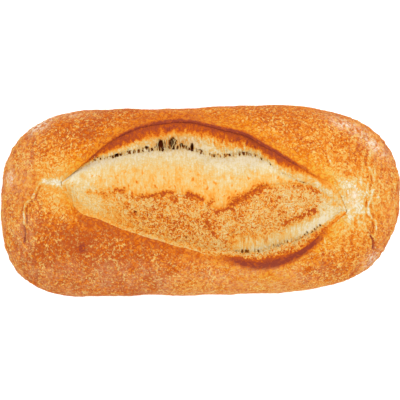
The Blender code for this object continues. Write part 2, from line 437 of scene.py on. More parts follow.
def crease_relief(x, y, above):
    """Grooves and raised folds in the crust near both ends, in metres, and how much paler or darker they make
    it: paler ridges and darker grooves, which is painted light and shade, and a pale band along the groove at
    the left tip.
    """
    height = np.zeros(np.shape(x))
    pale = np.zeros(np.shape(x))
    wobble = 0.0011 * fractal(flat(x, y), 0.005, 31)
    patchy = ease(-0.45, 0.35, fractal(flat(x, y), 0.006, 32))
    for path, strength, fold_light_and_shade, groove_side in FOLDS:
        d, side, share = near_path(x + wobble, y + 0.6 * wobble, path)
        ends = between_ends(share)
        ridge = bell(d, 0.0008) * (0.45 + 0.55 * patchy)
        groove = bell(d * side * groove_side + 0.0014, 0.0006) * patchy
        height += strength * ends * FOLD_HEIGHT * (ridge - groove)
        # painted light and shade: the ridge paler and the groove darker
        pale += fold_light_and_shade * ends * (0.56 * ridge - 0.46 * groove)
    for path, depth, darkness in CRACKLETS:
        d, _, share = near_path(x, y + wobble, path)
        height -= depth * bell(d, 0.0008) * ease(1.0, 0.85, share)
        # painted shade along the cracklet's groove
        pale -= darkness * bell(d, 0.0007)
    d, _, _ = near_path(x, y, LEFT_GROOVE)
    pale += 0.36 * bell(d, 0.002)
    return height * above, pale * above


def edge_bake(x, y):
    """Burning of the crust's edges along the ear and the lower lip, from 0 to 1."""
    ear, lip = ear_line(x), lip_line(x)
    upper = y > (ear + lip) / 2
    spread = 0.001 * fractal(flat(x, y), 0.004, 41)
    at_ear = bell(np.maximum(np.maximum(y - ear, 0.0) + 0.5 * spread, 0.0), 0.0011) * upper
    at_lip = ease(0.006, 0.0018, np.maximum(lip - y, 0.0) + spread) * ~upper
    return np.clip(EDGE_BURN * (curled_ear(x) * at_ear + curled_lip(x) * at_lip), 0.0, 1.0)


# browner and paler places of the crust, and floury ones: amount, place, radius, stretch along, turn
CRUST_BAKE, SOLE_BAKE, EDGE_BURN = 0.64, 0.7, 0.9
CRUST_SPOTS = (
    (0.19, -820, -300, 160, 1.8, -0.35), (-0.07, -1060, -130, 90),
    (0.08, -450, -340, 120, 2.0, -0.3), (0.12, -835, -338, 45),
    (0.07, -800, 500, 120, 3.0, 0.25), (0.09, 60, 580, 70, 5.0),
    (-0.05, 900, 480, 160, 1.6, -0.5), (-0.05, -40, -420, 120, 2.0, -0.1),
    (-0.15, -1000, 260, 160, 1.4, 0.9), (-0.16, -1000, -30, 100, 1.4, -0.9),
    (0.06, -1050, -300, 140), (-0.22, -1020, 100, 110, 1.3),
    (-0.32, 1080, -20, 130, 1.7, 1.45), (-0.15, 1120, 0, 340),
    (-0.1, 960, 200, 80, 2.0, -0.6), (0.07, -1190, -355, 100),
    (-0.06, 1300, 0, 100, 2.0, 1.57), (-0.05, 990, -250, 120),
    (-0.04, 705, 525, 180, 1.6, -0.3),
)
FLOUR_SPOTS = (
    (0.6, -1330, 150, 40, 1.6, 1.57), (0.9, -1115, 540, 50, 2.2, 0.6),
    (0.8, 1200, 400, 50, 3.0, -0.75), (0.8, 1000, 530, 40, 3.0, -0.4),
    (0.7, 1200, -420, 45, 2.5, 0.8), (0.9, 1075, 20, 32, 1.8, 1.4),
    (0.5, -900, 600, 30, 4.0), (0.35, -1060, 128, 13, 3.5),
)


def crust_look(points, up, above, pale):
    """Browning, flour, blisters and golden glow of the crust for each point, from 0 to 1."""
    x, y, z = np.moveaxis(points, -1, 0)
    ear, lip = ear_line(x), lip_line(x)
    bake = CRUST_BAKE + 0.1 * fractal(points, 0.034, 51) + 0.07 * fractal(points, 0.01, 52)
    bake += spots(x, y, CRUST_SPOTS)
    bake += 0.06 * ease(0.03, 0.05, -y) * ease(0.06, -0.02, x)
    bake -= 0.09 * ease(-0.116, -0.132, x)
    bake += 0.22 * blob(x, y, 1100, -20, 240, 1.3, 1.45) * fractal(points, 0.0085, 58, 3)
    below_lip = ease(0.009, 0.002, lip - y)
    bake += 0.05 * below_lip * window(x, -0.092, -0.08, -0.022, 0.0)
    bake -= 0.14 * ease(0.05, 0.062, -y) * ease(-0.05, 0.0, x)
    burnt = edge_bake(x, y) * ease(0.0, 0.3, up)
    # pale holds the painted light and shade of the creases and wrinkles
    bake = bake - pale
    bake = mix(bake, 1.0, burnt)
    sole = ease(0.004, 0.0005, z)
    bake = mix(bake, SOLE_BAKE + 0.1 * fractal(points, 0.012, 55), sole)

    veil = ease(0.038, 0.05, -y) * ease(0.11, 0.06, x)
    veil = np.maximum(veil, ease(-0.108, -0.12, x))
    veil = np.maximum(veil, 0.6 * ease(0.118, 0.132, x))
    flour = 0.2 * veil * ease(-0.45, 0.35, fractal(points, 0.012, 61)) * (1.0 - burnt)
    dusted = ease(-0.45, 0.25, fractal(points, 0.003, 62)) * (z > 0.002)
    flour = flour + spots(x, y, FLOUR_SPOTS) * dusted
    flour = flour + 0.35 * sole * ease(-0.1, 0.5, fractal(points, 0.008, 63))

    from_edge = np.maximum(y - ear, lip - y)
    blister = ease(-0.8, 0.25, fractal(points, 0.012, 64)) * (1.0 - sole) * (1.0 - burnt)
    blister = blister * (1.0 - above * ease(0.01, 0.003, from_edge))
    blister = blister * (1.0 - 0.8 * blob(x, y, 1070, -10, 110, 2.0, 1.45))
    glow = ease(0.024, 0.006, from_edge) * above * (1.0 - burnt)
    glow = glow * window(x, -0.115, -0.085, 0.095, 0.125)
    dull = 0.8 * window(x, -0.094, -0.082, 0.0, 0.03)
    glow = glow * (1.0 - dull * (y < (ear + lip) / 2))
    return np.clip(bake, 0.02, 1.0), np.clip(flour, 0.0, 1.0), blister, glow


def crust_columns(t):
    """Angles round the section for every column of the crust's rings."""
    x = t * LENGTH / 2
    ear, lip = ear_line(x), lip_line(x)
    ear_roll, lip_roll = roll_widths(x)
    edges = (ear, ear - ear_roll, lip + lip_roll, lip)
    inside = window(x, LEFT_END, LEFT_END + FAN_REACH, RIGHT_END - FAN_REACH, RIGHT_END)
    middle = np.interp(x, *np.transpose([LEFT_TIP, RIGHT_TIP]) / TENTHS)
    angles = []
    for edge, fan in zip(edges, FAN_SPREAD):
        fanned = (middle - spine(t)) * rounding(t, 2.0) + fan * half_width(t)
        angles.append(angle_of(t, spine(t) + fanned + (edge - spine(t) - fanned) * inside))

    def even(count):
        return np.arange(count) / count

    side = even(SIDE_COLUMNS)
    quarter = even(ROLL_COLUMNS) * math.pi / 2
    bands = (
        (0.0 * t, angles[0], side + SIDE_CROWDING * side * (1 - side)),
        (angles[0], angles[1], np.sin(quarter)),
        (angles[1], angles[2], even(TROUGH_COLUMNS)),
        (angles[2], angles[3], 1 - np.cos(quarter)),
        (angles[3], math.pi + 0.0 * t, side - SIDE_CROWDING * side * (1 - side)),
        (math.pi + 0.0 * t, 2 * math.pi + 0.0 * t, even(BASE_COLUMNS)),
    )
    columns = [mix(start[:, None], end[:, None], share[None, :]) for start, end, share in bands]
    return np.concatenate(columns, axis=1)


def crust_points():
    """The crust's rings before its fine detail, with how far each point faces up and lies outside the trough."""
    t = ring_place(np.linspace(-1.0, 1.0, RINGS + 1)[1:-1])
    angle = crust_columns(t)
    x, y, z = body_point(t[:, None] + 0.0 * angle, angle)
    crust, floor = slash_parts(x, y)
    up = np.maximum(np.sin(angle), 0.0)
    ear, lip = ear_line(x), lip_line(x)
    ear_roll, lip_roll = roll_widths(x)
    inside = np.clip(np.minimum((ear - y) / ear_roll, (y - lip) / lip_roll), 0.0, 1.0)
    sunk = floor - TROUGH_DEPTH * ease(0.0, TROUGH_GAPE, np.maximum(ear - lip, 0.0))
    curled = 1.0 - np.sqrt(np.maximum(1.0 - inside**2, 0.0))
    relief = mix(crust, np.minimum(sunk, crust), np.where(inside > 0, curled, 0.0))
    points = np.stack([x, y, z + relief * up], axis=-1)
    return push_out(points, unevenness(points)), up, 1.0 - inside


def dough_detail(points):
    """Height of the crust's small unevenness."""
    x, y = points[..., 0], points[..., 1]
    ends = ease(0.1, 0.125, np.abs(x))
    lower_left = blob(x, y, -800, -450, 300, 1.6)
    height = 0.00055 * fractal(points, 0.013, 71, 3) + 0.00022 * fractal(points, 0.0035, 72, 2)
    return height + (0.0002 + 0.0006 * ends + 0.0005 * lower_left) * (ridges(points, 0.007, 73) - 0.45)


def crust_detail(points, normals, up, open_crust):
    """The points with their fine relief, the painted light and shade of their creases and wrinkles, and where
    the outer crust faces up.
    """
    x, y, z = np.moveaxis(points, -1, 0)
    above = ease(0.0, 0.3, up) * open_crust
    height = dough_detail(points)
    crease, pale = crease_relief(x, y, above)
    wrinkle = ridges(points + 0.0016 * fractal(points, 0.006, 34)[..., None], (0.0036, 0.013, 0.013), 35) - 0.5
    wrinkled = ease(0.088, 0.108, x) + ease(-0.1, -0.12, x)
    crease = crease + 0.0007 * wrinkle * wrinkled
    # painted light and shade on the end wrinkles: ridges paler, valleys darker
    pale = pale + 0.42 * wrinkle * wrinkled
    off_deck = ease(0.0002, 0.006, z)
    amount = (height * (0.3 + 0.7 * open_crust) + crease) * off_deck
    return points + normals * amount[..., None], pale, above


def build_crust(material):
    points, up, open_crust = crust_points()
    normals = -grid_normals(points, True)
    points, pale, above = crust_detail(points, normals, up, open_crust)
    looks = crust_look(points, up, above, pale)
    rings, columns = points.shape[:2]
    # each pole lies in the middle of its nearest ring, a hair further out
    poles = [points[ring].mean(0) + np.array([out, 0.0, 0.0]) for ring, out in ((0, -POLE_GAP), (-1, POLE_GAP))]
    vertices = np.concatenate([points.reshape(-1, 3), np.array(poles)])
    index = np.arange(rings * columns).reshape(rings, columns)
    a, b = index[:-1], index[1:]
    quads = np.stack([a, np.roll(a, -1, 1), np.roll(b, -1, 1), b], axis=-1).reshape(-1, 4)
    left = [(rings * columns, int(q), int(p)) for p, q in zip(index[0], np.roll(index[0], -1))]
    right = [(rings * columns + 1, int(p), int(q)) for p, q in zip(index[-1], np.roll(index[-1], -1))]

    def with_poles(values):
        return np.concatenate([values.reshape(-1), [values[0].mean(), values[-1].mean()]])

    values = dict(zip(("bake", "flour", "blister", "glow"), map(with_poles, looks)))
    return make_mesh("loaf_crust", vertices, quads.tolist() + left + right, material, values)


# ---- torn crumb
PALE_BAND_POINTS = ((100, -300), (192, -250), (332, -257), (473, -236), (550, -226), (640, -182), (754, -144),
                    (846, -106), (895, -77), (980, -70))
pale_band_line = line_through(PALE_BAND_POINTS)
# holes of the crumb: place, half width along the loaf and across it
CAVITIES = ((-274, 381, 29, 36), (-192, 390, 27, 42), (-130, 372, 12, 16), (-56, 362, 11, 28),
            (-372, 358, 14, 10), (-582, 312, 14, 8))
OTHER_HOLES = ((-97, -257, 8, 7), (-455, -88, 12, 8))
CAVITY_DEPTH, PIT_DEPTH, OTHER_HOLE_DEPTH = 0.005, 0.002, 0.0014
# paths in the crumb's browning: points, radius in metres, amount
DARK_STREAKS = (
    (((185, -70), (240, -11), (332, 35), (431, 81), (497, 112)), 0.003, 0.36),
    (((-430, 30), (-360, 24), (-290, 36), (-230, 50), (-165, 40)), 0.0014, 0.44),
    (((-160, 40), (-155, -10), (-135, -55)), 0.0015, 0.44),
    (((-110, 45), (-60, 35), (2, 12), (30, -10)), 0.0018, 0.42),
    (((40, -45), (80, -10), (105, 10)), 0.0014, 0.32),
    (((80, -95), (120, -90), (170, -75), (230, -50)), 0.0018, 0.32),
    (((614, 109), (700, 95), (760, 81), (850, 50)), 0.0016, 0.26),
    (((2, -90), (50, -150), (60, -215)), 0.0022, 0.15),
    (((560, -165), (640, -135), (720, -112), (780, -85), (830, -50)), 0.0024, 0.36),
    (((-820, 60), (-700, 50), (-640, 15)), 0.0013, 0.22),
    (((-610, 82), (-560, 68), (-510, 70)), 0.0016, 0.28),
    (((-170, -120), (-100, -180), (-50, -260)), 0.0018, 0.18),
    (((75, -215), (130, -262), (200, -284), (270, -290)), 0.0008, 0.34),
)
PALE_DRIPS = (
    (((-148, 60), (-140, 10), (-135, -60)), 0.001, 0.85),
    (((-490, 80), (-492, 10), (-485, -50)), 0.0009, 0.7),
    (((-560, 60), (-565, 0), (-560, -30)), 0.0008, 0.5),
    (((35, 0), (30, -60), (35, -100)), 0.001, 0.6),
    (((-290, 40), (-285, -10), (-290, -40)), 0.0008, 0.45),
)
STREAK_STRENGTH, DRIP_BAKE = 1.25, 0.16
CRUMB_SPOTS = (
    (0.16, -455, -88, 22, 1.3), (-0.1, -780, 20, 120, 1.6, -0.4),
    (-0.1, 700, 0, 90, 1.8), (-0.08, 900, -20, 80),
)


def toasted_share(x, y, ledge):
    """How far the crumb under the ledge has browned, from the pale left tip at 0 to the middle at 1."""
    return ease(-0.088, -0.045, x - 0.5 * np.clip(ledge - y, -0.004, 0.02))


def torn_grid():
    """Plan places (x, y) of the torn slab's grid, which has a column on each of the slash's lines."""
    x = np.linspace(LEFT_END + TORN_END, RIGHT_END - TORN_END, TORN_COLUMNS_ALONG)
    lines = [line(x) for line in SLASH_LINES]
    margin = TORN_MARGIN * ease(0.0, TROUGH_GAPE, gape_at(x))
    edges = [lines[0] + margin, *lines, lines[-1] - margin]
    bands = zip(TORN_BANDS, edges, edges[1:])
    columns = [start + (end - start) * k / count for count, start, end in bands for k in range(count)]
    y = np.stack([*columns, edges[-1]], axis=1)
    return x[:, None] + 0.0 * y, y


def pits(x, y, holes, seed):
    """Depth from 0 to 1 of ragged pits with the given half widths."""
    depth = np.zeros(np.shape(x))
    ragged = 1.0 + 0.55 * fractal(flat(x, y), 0.0018, seed)
    for cx, cy, half_x, half_y in np.array(holes) / TENTHS:
        d = np.hypot((x - cx) / half_x, (y - cy) / half_y) / ragged
        depth = np.maximum(depth, ease(1.2, 0.45, d))
    return depth


def pit_row(x, y, line, spread, activity, seed):
    """Depth from 0 to 1 of many small pits strewn along a line."""
    plan = flat(x, y)
    shift = 0.0007 * fractal(plan, (0.006, 1.0, 1.0), seed + 100)
    near = activity * bell(y - line + shift, spread)
    near = near * (1.0 + 0.7 * fractal(plan, (0.007, 1.0, 1.0), seed + 200))
    return ease(0.46, 0.9, near * (0.62 + 1.45 * fractal(plan, (0.0015, 0.0017, 1.0), seed, 2)))


# how open the crack and the furrow are along x
CRACK_PLACES = (-0.09, -0.075, -0.06, -0.045, 0.0, 0.006, 0.036, 0.045, 0.075, 0.095)
CRACK_ACTIVITY = (0.2, 0.7, 0.9, 0.95, 1.0, 0.8, 0.9, 0.65, 0.48, 0.4)
FURROW_PLACES = (0.01, 0.03, 0.06, 0.085, 0.095)
FURROW_ACTIVITY = (0.0, 0.85, 0.9, 0.8, 0.0)


def pale_band(x, y, plan, furrow):
    """The lower pale band, at the right over the furrow, from 0 to 1."""
    brushed = 0.0022 * fractal(plan, 0.0045, 81) + 0.0034 * fractal(plan, (0.0012, 0.004, 1.0), 104, 2)
    share = ease(0.0034, -0.0036, y - pale_band_line(x) + brushed)
    share = share * window(x, 0.016, 0.03, 0.088, 0.1)
    return share * ease(-0.0015, 0.001, y - furrow)


def torn_points():
    """The torn slab's top: its points and, for each, its browning, darkness (painted shade in its holes and
    pits, partly a browner tint) and toasting.
    """
    x, y = torn_grid()
    lines = [line(x) for line in SLASH_LINES]
    ear, crack, ledge, furrow, lip = lines
    gape = np.maximum(ear - lip, 0.0)
    t = x / (LENGTH / 2)
    angle = angle_of(t, y)
    _, _, dome = body_point(t, angle)
    _, floor = slash_parts(x, np.clip(y, lip, ear))
    points = np.stack([x, y, dome + floor * np.sin(angle)], axis=-1)
    points = push_out(points, unevenness(points))
    plan = flat(x, y)

    wide = ease(0.0, 0.02, gape)
    edge = np.minimum(ear - y, y - lip)
    wall = ease(0.0, 0.002, ear - y) * ease(-0.0008, 0.001, y - crack)
    in_pale = ease(0.0, 0.0015, crack - y) * ease(-0.0008, 0.0012, y - ledge)
    low_pale = pale_band(x, y, plan, furrow)
    in_toasted = ease(0.0, 0.0012, ledge - y) * (1 - low_pale)

    fibres = fractal(plan, (0.0013, 0.0075, 1.0), 82)
    tears = fractal(plan, (0.0016, 0.004, 1.0), 83)
    bark = ridges(plan + 0.0008 * fractal(plan, 0.003, 84)[..., None], (0.0042, 0.0034, 1.0), 85, 3)
    lumps = fractal(plan, 0.0075, 86)
    holes = pits(x, y, CAVITIES, 87)
    tiny = pit_row(x, y, crack + 0.0004, 0.0017, np.interp(x, CRACK_PLACES, CRACK_ACTIVITY), 88)
    low_holes = pit_row(x, y, furrow - 0.0002, 0.0015, np.interp(x, FURROW_PLACES, FURROW_ACTIVITY), 89)
    other = pits(x, y, OTHER_HOLES, 90)

    height = wall * (0.0008 * tears + 0.0005 * lumps)
    height += in_pale * (0.00035 * fibres + 0.0007 * lumps)
    rim = bell(y - ledge, 0.0011) * (0.5 + 0.5 * fractal(plan, 0.004, 91))
    height += 0.0011 * rim * ease(0.085, 0.06, np.abs(x))
    height += in_toasted * (0.001 * (bark - 0.45) + 0.0009 * lumps)
    height += low_pale * (0.0004 * fibres + 0.0003 * lumps)
    height -= CAVITY_DEPTH * holes + PIT_DEPTH * tiny + PIT_DEPTH * low_holes + OTHER_HOLE_DEPTH * other
    curled = np.where(ear - y < y - lip, curled_ear(x), curled_lip(x))
    drop = mix(FLAT_EDGE_DROP, TORN_EDGE_DROP, curled)
    buried = mix(FLAT_SINK, TORN_SINK, curled) * ease(0.0002, -TORN_MARGIN, edge)
    height = height * wide * ease(-0.0005, 0.0012, edge) - drop * np.exp(-np.maximum(edge, 0.0) / DROP_REACH)
    height = height - buried * ease(0.0, TROUGH_GAPE, gape)
    height = height + dough_detail(points) * np.exp(-np.maximum(edge, 0.0) / DOUGH_REACH) * wide
    height = height - TIP_SINK * ease(TIP_GAPE, 0.0, gape)
    normals = grid_normals(points, False)
    normals *= np.sign(normals[..., 2:3])
    points = points + normals * height[..., None]

    bake, streaked = torn_bake(x, y, plan, lines, bark, fibres, tears, lumps, low_pale)
    # painted shade: olive-brown shading around the big cavities in the wall, and fine hatched shading in the
    # lower pale band
    shade = 0.34 * blob(x, y, -180, 398, 50, 3.2) * ease(-0.9, 0.2, tears)
    hatched = ease(0.05, 0.5, fibres)
    shade = shade + 0.55 * low_pale * blob(x, y, 380, -280, 60, 2.6) * hatched
    # dark is painted shade in the holes, cavities and pits, plus the painted shading above; partly a browner
    # tint of the crumb in its hollows
    dark = 0.85 * holes + 0.6 * low_holes + 0.75 * tiny + 0.7 * other + shade
    toast = in_toasted * (0.3 + 0.7 * toasted_share(x, y, ledge))
    toast = toast * (0.75 + 0.25 * ease(0.001, 0.007, y - lip))
    toast = toast * (1.0 - 0.6 * ease(0.08, 0.094, x))
    toast = np.maximum(toast, np.clip(STREAK_TOAST * streaked, 0.0, MOST_STREAK_TOAST)) + WALL_TOAST * wall
    return points, (bake, np.clip(dark, 0.0, 1.0), np.clip(toast, 0.0, 1.0))


# browning in percent across the slash, by band coordinate, at four places along it; the first places, just under
# the ear, also hold painted shade of the ear's underside
BAND_PLACES = (-0.5, 0.0, 0.1, 0.22, 0.34, 0.48, 0.62, 0.78, 0.92, 1.0, 1.08, 1.26, 1.48, 1.75, 1.9, 1.97,
               2.04, 2.16, 2.45, 2.75, 2.93, 3.0, 3.35, 3.65, 3.88, 4.0, 4.5)
MIDDLE_BAKE = (90, 92, 91, 90, 84, 47, 25, 21, 19, 18, 13, 21, 28, 31, 33, 41, 51, 51, 52, 53,
               49, 42, 37, 33, 29, 27, 30)
LEFT_BAKE = (86, 89, 90, 88, 85, 78, 58, 42, 34, 26, 13, 12, 16, 21, 24, 27, 30, 30, 31, 34,
             40, 42, 42, 42, 42, 42, 42)
RIGHT_BAKE = (91, 92, 91, 87, 76, 46, 33, 28, 26, 22, 11, 13, 25, 31, 33, 42, 50, 47, 47, 48,
              41, 26, 31, 84, 92, 91, 91)
TIP_BAKE = (84, 80, 70, 52, 38, 30, 26, 25, 26, 27, 26, 25, 27, 29, 32, 42, 48, 43, 40, 36,
            26, 22, 36, 64, 80, 86, 86)


def bake_band(x, y, plan, lines):
    """Band coordinate for the browning: whole numbers on the slash's lines, made ragged between the edges."""
    ear, crack, ledge, _, lip = lines
    edge = np.minimum(ear - y, y - lip)
    warp_y = y + 0.0009 * fractal(plan, (0.0022, 0.006, 1.0), 92) + 0.0007 * fractal(plan, 0.004, 93)
    on_face = ease(0.002, 0.006, ear - y) * ease(-0.001, 0.002, y - crack)
    warp_y = warp_y + 0.0026 * on_face * fractal(plan, (0.0032, 0.008, 1.0), 97)
    at_ledge = bell(y - ledge, 0.005) * ease(0.006, 0.012, edge)
    warp_y = warp_y + 0.0052 * at_ledge * fractal(plan, (0.0019, 0.0075, 1.0), 99, 2)
    warp_y = np.where(edge < 0.0012, y, warp_y)
    band = np.zeros(np.shape(x))
    for i, (start, end) in enumerate(zip(lines, lines[1:])):
        share = (start - warp_y) / np.maximum(start - end, 1e-6)
        within = (share >= 0) & ((share < 1) | (i == len(lines) - 2))
        band = np.where(within, i + share, band)
    band = np.where(warp_y > ear, (ear - warp_y) / 0.004, band)
    # the dark band under the ear, burnt colour with painted shade of the ear's underside, is wider in two places
    burn_and_shade_wide = 1.0 + 0.9 * bell(x - 0.05, 0.02) + 0.6 * bell(x + 0.052, 0.018)
    return np.where((band > 0.0) & (band < 1.0), np.abs(band) ** burn_and_shade_wide, band)


def torn_bake(x, y, plan, lines, bark, fibres, tears, lumps, low_pale):
    """Browning of the torn crumb from 0 (white) to 1 (burnt), and how much of it is dark streaks."""
    band = bake_band(x, y, plan, lines)
    left, middle, right, tip = (
        np.interp(band, BAND_PLACES, np.array(percents) / 100)
        for percents in (LEFT_BAKE, MIDDLE_BAKE, RIGHT_BAKE, TIP_BAKE)
    )
    to_middle = toasted_share(x, y, lines[2])
    to_right = ease(0.0, 0.028, x)
    to_tip = np.where(band < 1.0, ease(0.056, 0.078, x), ease(0.044, 0.07, x))
    bake = mix(mix(mix(left, middle, to_middle), right, to_right), tip, to_tip)
    brick = window(x, -0.09, -0.074, 0.07, 0.094)
    bake = np.minimum(bake, 0.42 + 0.52 * np.where(band < 2.0, brick, 0.3 + 0.7 * curled_lip(x)))

    toasted = window(band, 1.95, 2.1, 2.9, 3.05) * (1 - low_pale) * (0.3 + 0.7 * to_middle)
    patches = 0.36 * fractal(plan, 0.011, 94, 2) + 0.2 * fractal(plan, 0.0042, 98, 2)
    # the bark's raised ridges are made paler: partly the crumb's colour, partly painted highlight on the ridges
    patches = patches + 0.14 * (0.45 - bark) - 0.14 * ease(0.078, 0.092, x)
    patches = patches - 0.04 * blob(x, y, 705, -4, 70)
    bake = bake + toasted * (patches + 0.06 * blob(x, y, -240, -190, 70, 2.0, -0.4) - 0.03)

    in_pale = window(band, 1.0, 1.1, 1.8, 2.0)
    patchy = np.maximum(fractal(plan, (0.006, 0.0075, 1.0), 95), -0.06)
    smudges = ease(0.24, 0.42, fractal(plan, (0.003, 0.0036, 1.0), 103, 3, 0.6)) * ease(1.3, 1.6, band)
    streaks = 0.04 * fractal(plan, (0.0026, 0.009, 1.0), 101, 2) + 0.26 * patchy + 0.34 * smudges
    bake = bake + in_pale * (0.03 * fibres + streaks * ease(1.1, 1.5, band))

    on_wall = window(band, 0.02, 0.3, 0.9, 1.1)
    mottled = 0.22 * tears + 0.22 * fractal(plan, 0.004, 102, 2) - 0.04
    mottled = mottled + 0.34 * blob(x, y, 170, 400, 34, 4.0, -0.1) * ease(-0.5, 0.5, tears)
    bake = bake + on_wall * (mottled - 0.13 * blob(x, y, 40, 405, 60, 2.0))

    pale_tone = np.interp(x, (0.03, 0.045, 0.06, 0.076, 0.09), (0.29, 0.25, 0.27, 0.12, 0.12))
    pale_tone = pale_tone + (0.36 - 0.16 * ease(0.04, 0.075, x)) * fibres + 0.08 * lumps
    bake = mix(bake, pale_tone, 0.92 * low_pale)

    ragged = 0.003 * fractal(plan, (0.0018, 0.003, 1.0), 96, 3, 0.7)
    broken = 0.45 + 0.7 * ease(-0.8, 0.0, fractal(plan, 0.003, 100)) + 0.7 * tears
    streaked = np.zeros(np.shape(x))
    for path, radius, amount in DARK_STREAKS:
        d, _, share = near_path(x, y + ragged, path)
        streaked += STREAK_STRENGTH * amount * between_ends(share) * broken * bell(d, radius)
    bake = bake + streaked
    bake = np.where(band > 1.3, np.minimum(bake, np.maximum(0.85, right * to_right)), bake)
    for path, radius, amount in PALE_DRIPS:
        d, _, share = near_path(x + 0.4 * ragged, y, path)
        bake = mix(bake, DRIP_BAKE, amount * between_ends(share, 0.7) * bell(d, radius))
    bake += spots(x, y, CRUMB_SPOTS)
    bake += 0.2 * blob(x, y, 800, -20, 58, 1.3, 0.6) * ease(-0.6, 0.4, tears)
    return np.clip(bake, 0.0, 1.0), streaked


def build_torn(material):
    points, looks = torn_points()
    rows, columns = points.shape[:2]
    index = np.arange(rows * columns).reshape(rows, columns)
    top = np.stack([index[:-1, :-1], index[1:, :-1], index[1:, 1:], index[:-1, 1:]], axis=-1).reshape(-1, 4)
    # the underside: both long edges lowered, joined by one strip of faces
    low = points[:, (0, -1)] - np.array([0.0, 0.0, TORN_THICKNESS])
    low_index = rows * columns + np.arange(rows * 2).reshape(rows, 2)
    faces = top.tolist()
    for a, b, low_a, low_b in np.stack([index[:, 0], index[:, -1], *low_index.T], axis=1)[:-1].tolist():
        faces.append((low_a, low_b, low_b + 2, low_a + 2))
        faces.append((a, low_a, low_a + 2, a + columns))
        faces.append((b + columns, low_b + 2, low_b, b))
    for i, order in ((0, -1), (-1, 1)):
        faces.append(tuple([*index[i].tolist(), *low_index[i, ::-1].tolist()][::order]))
    vertices = np.concatenate([points.reshape(-1, 3), low.reshape(-1, 3)])

    def with_low(values):
        return np.concatenate([values.reshape(-1), values[:, (0, -1)].reshape(-1)])

    values = dict(zip(("bake", "dark", "toast"), map(with_low, looks)))
    return make_mesh("torn_crumb", vertices, faces, material, values), points


# ---- strands of gluten over the crack
STRAND_SEED = 23
STRAND_LIMITS = (-0.088, 0.094)
STRAND_SCATTER, STRAND_LIFT, STRAND_ROOT = 0.0006, 0.0001, 0.0006
STRAND_SAG = 0.15  # as a share of the strand's length
STRAND_SIDES = 5
STRAND_STEPS = 8
STRAND_GROUPS = (
    # count, middle and spread along x, line, offset from it, lengths, radii
    (13, -0.0235, 0.005, crack_line, 0.0036, (0.006, 0.01), (0.00018, 0.00038)),
    (6, -0.007, 0.004, crack_line, 0.0022, (0.003, 0.006), (0.00014, 0.00028)),
    (30, -0.045, 0.015, crack_line, 0.0012, (0.0018, 0.0042), (0.00012, 0.00026)),
    (24, 0.02, 0.011, crack_line, 0.0012, (0.0018, 0.004), (0.00012, 0.00026)),
    (44, 0.056, 0.02, furrow_line, -0.0004, (0.002, 0.0045), (0.00012, 0.00026)),
)


def build_strands(surface, material):
    """Thin threads that cross the crack and the furrow, each ending in the crumb on both sides."""
    rng = np.random.default_rng(STRAND_SEED)
    xs = surface[:, 0, 0]
    u = np.arange(STRAND_STEPS + 1) / STRAND_STEPS
    sag = np.sin(math.pi * u)
    turns = 2 * math.pi * np.arange(STRAND_SIDES) / STRAND_SIDES
    vertices, faces = [], []

    def height_at(x, y):
        across = surface[int(np.clip(np.searchsorted(xs, x), 0, len(xs) - 1))]
        return float(np.interp(-y, -across[:, 1], across[:, 2]))

    for count, middle_x, spread_x, line, offset, lengths, radii in STRAND_GROUPS:
        for _ in range(count):
            x = float(np.clip(rng.normal(middle_x, spread_x), *STRAND_LIMITS))
            length, radius = rng.uniform(*lengths), rng.uniform(*radii)
            centre = float(line(np.float64(x))) + offset + rng.normal(0.0, STRAND_SCATTER)
            lean, bow = rng.normal(0.0, 0.28) * length, rng.uniform(-0.12, 0.18) * length
            top, bottom = centre + length / 2, centre - length / 2
            px = x + lean * (0.5 - u) + bow * 0.4 * sag
            py = mix(top, bottom, u)
            pz = mix(height_at(x + lean / 2, top), height_at(x - lean / 2, bottom), u)
            pz = pz + STRAND_LIFT - STRAND_SAG * length * sag
            crumb = np.array([height_at(*place) for place in zip(px, py)])
            pz = np.maximum(pz, crumb + STRAND_LIFT) - STRAND_ROOT * (2 * u - 1) ** 8
            thick = radius * (0.55 + 1.3 * (2 * u - 1) ** 4)
            first = len(vertices)
            for cx, cy, cz, r in zip(px, py, pz, thick):
                vertices.extend((cx + r * math.cos(a), cy, cz + r * math.sin(a)) for a in turns)
            for ring in range(first, first + STRAND_STEPS * STRAND_SIDES, STRAND_SIDES):
                for j in range(STRAND_SIDES):
                    p, q = ring + j, ring + (j + 1) % STRAND_SIDES
                    faces.append((p, q, q + STRAND_SIDES, p + STRAND_SIDES))
            faces.append(tuple(range(first, first + STRAND_SIDES))[::-1])
            faces.append(tuple(range(len(vertices) - STRAND_SIDES, len(vertices))))
    return make_mesh("gluten_strands", vertices, faces, material, {})


# ---- meshes and nodes
def add_object(name, data):
    thing = bpy.data.objects.new(name, data)
    bpy.context.scene.collection.objects.link(thing)
    return thing


def make_mesh(name, vertices, faces, material, values):
    """A smooth closed piece; values holds one number per vertex for each attribute name."""
    data = bpy.data.meshes.new(name)
    data.from_pydata((np.asarray(vertices) + CENTRE).tolist(), [], faces)
    work = bmesh.new()
    work.from_mesh(data)
    bmesh.ops.recalc_face_normals(work, faces=work.faces)
    work.to_mesh(data)
    work.free()
    data.materials.append(material)
    data.shade_smooth()
    for key, numbers in values.items():
        layer = data.attributes.new(key, "FLOAT", "POINT")
        layer.data.foreach_set("value", np.asarray(numbers, np.float32))
    return add_object(name, data)


def from_display(r, g, b, level=1.0):
    """Linear colour that shows as this display colour of 0 to 255 in light of this level."""
    parts = []
    for value in (r, g, b):
        v = value / 255.0
        linear = v / 12.92 if v <= 0.04045 else ((v + 0.055) / 1.055) ** 2.4
        parts.append(linear / level)
    return (*parts, 1.0)


